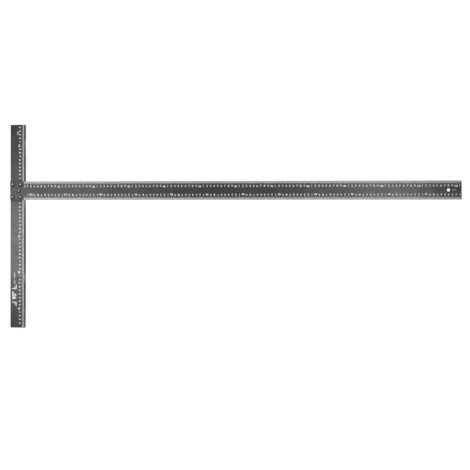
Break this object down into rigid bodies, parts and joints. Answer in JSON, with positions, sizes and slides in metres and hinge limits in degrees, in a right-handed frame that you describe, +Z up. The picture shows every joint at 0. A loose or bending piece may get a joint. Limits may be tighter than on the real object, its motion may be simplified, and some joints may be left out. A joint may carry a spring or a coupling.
{
  "type": "drywall t square",
  "caption": "Long flat ruled blade riveted square across a shorter channel-section head, with a hanging hole near its free end.",
  "frame": {"origin": "the inside corner where the head's fence face meets the blade's underside, on the blade's centreline", "axes": "+X along the blade from the fence to the free end, +Y along the head towards its short arm, +Z up out of the scale face"},
  "size_m": [1.255, 0.56, 0.0192],
  "materials": {
    "blade_metal": "satin black anodised flat bar with printed scales",
    "head_metal": "satin black anodised extrusion with a printed scale",
    "rivet_metal": "dulled set rivet, left in plain metal",
    "scale_ink": "light satin ink of the printed scales, numbers and plain marks"
  },
  "bodies": {
    "root": {"blade": "blade_metal", "head": "head_metal", "rivet_back_upper": "rivet_metal", "rivet_back_lower": "rivet_metal", "rivet_front_upper": "rivet_metal", "rivet_front_lower": "rivet_metal", "rivet_centre": "rivet_metal"}
  },
  "joints": []
}
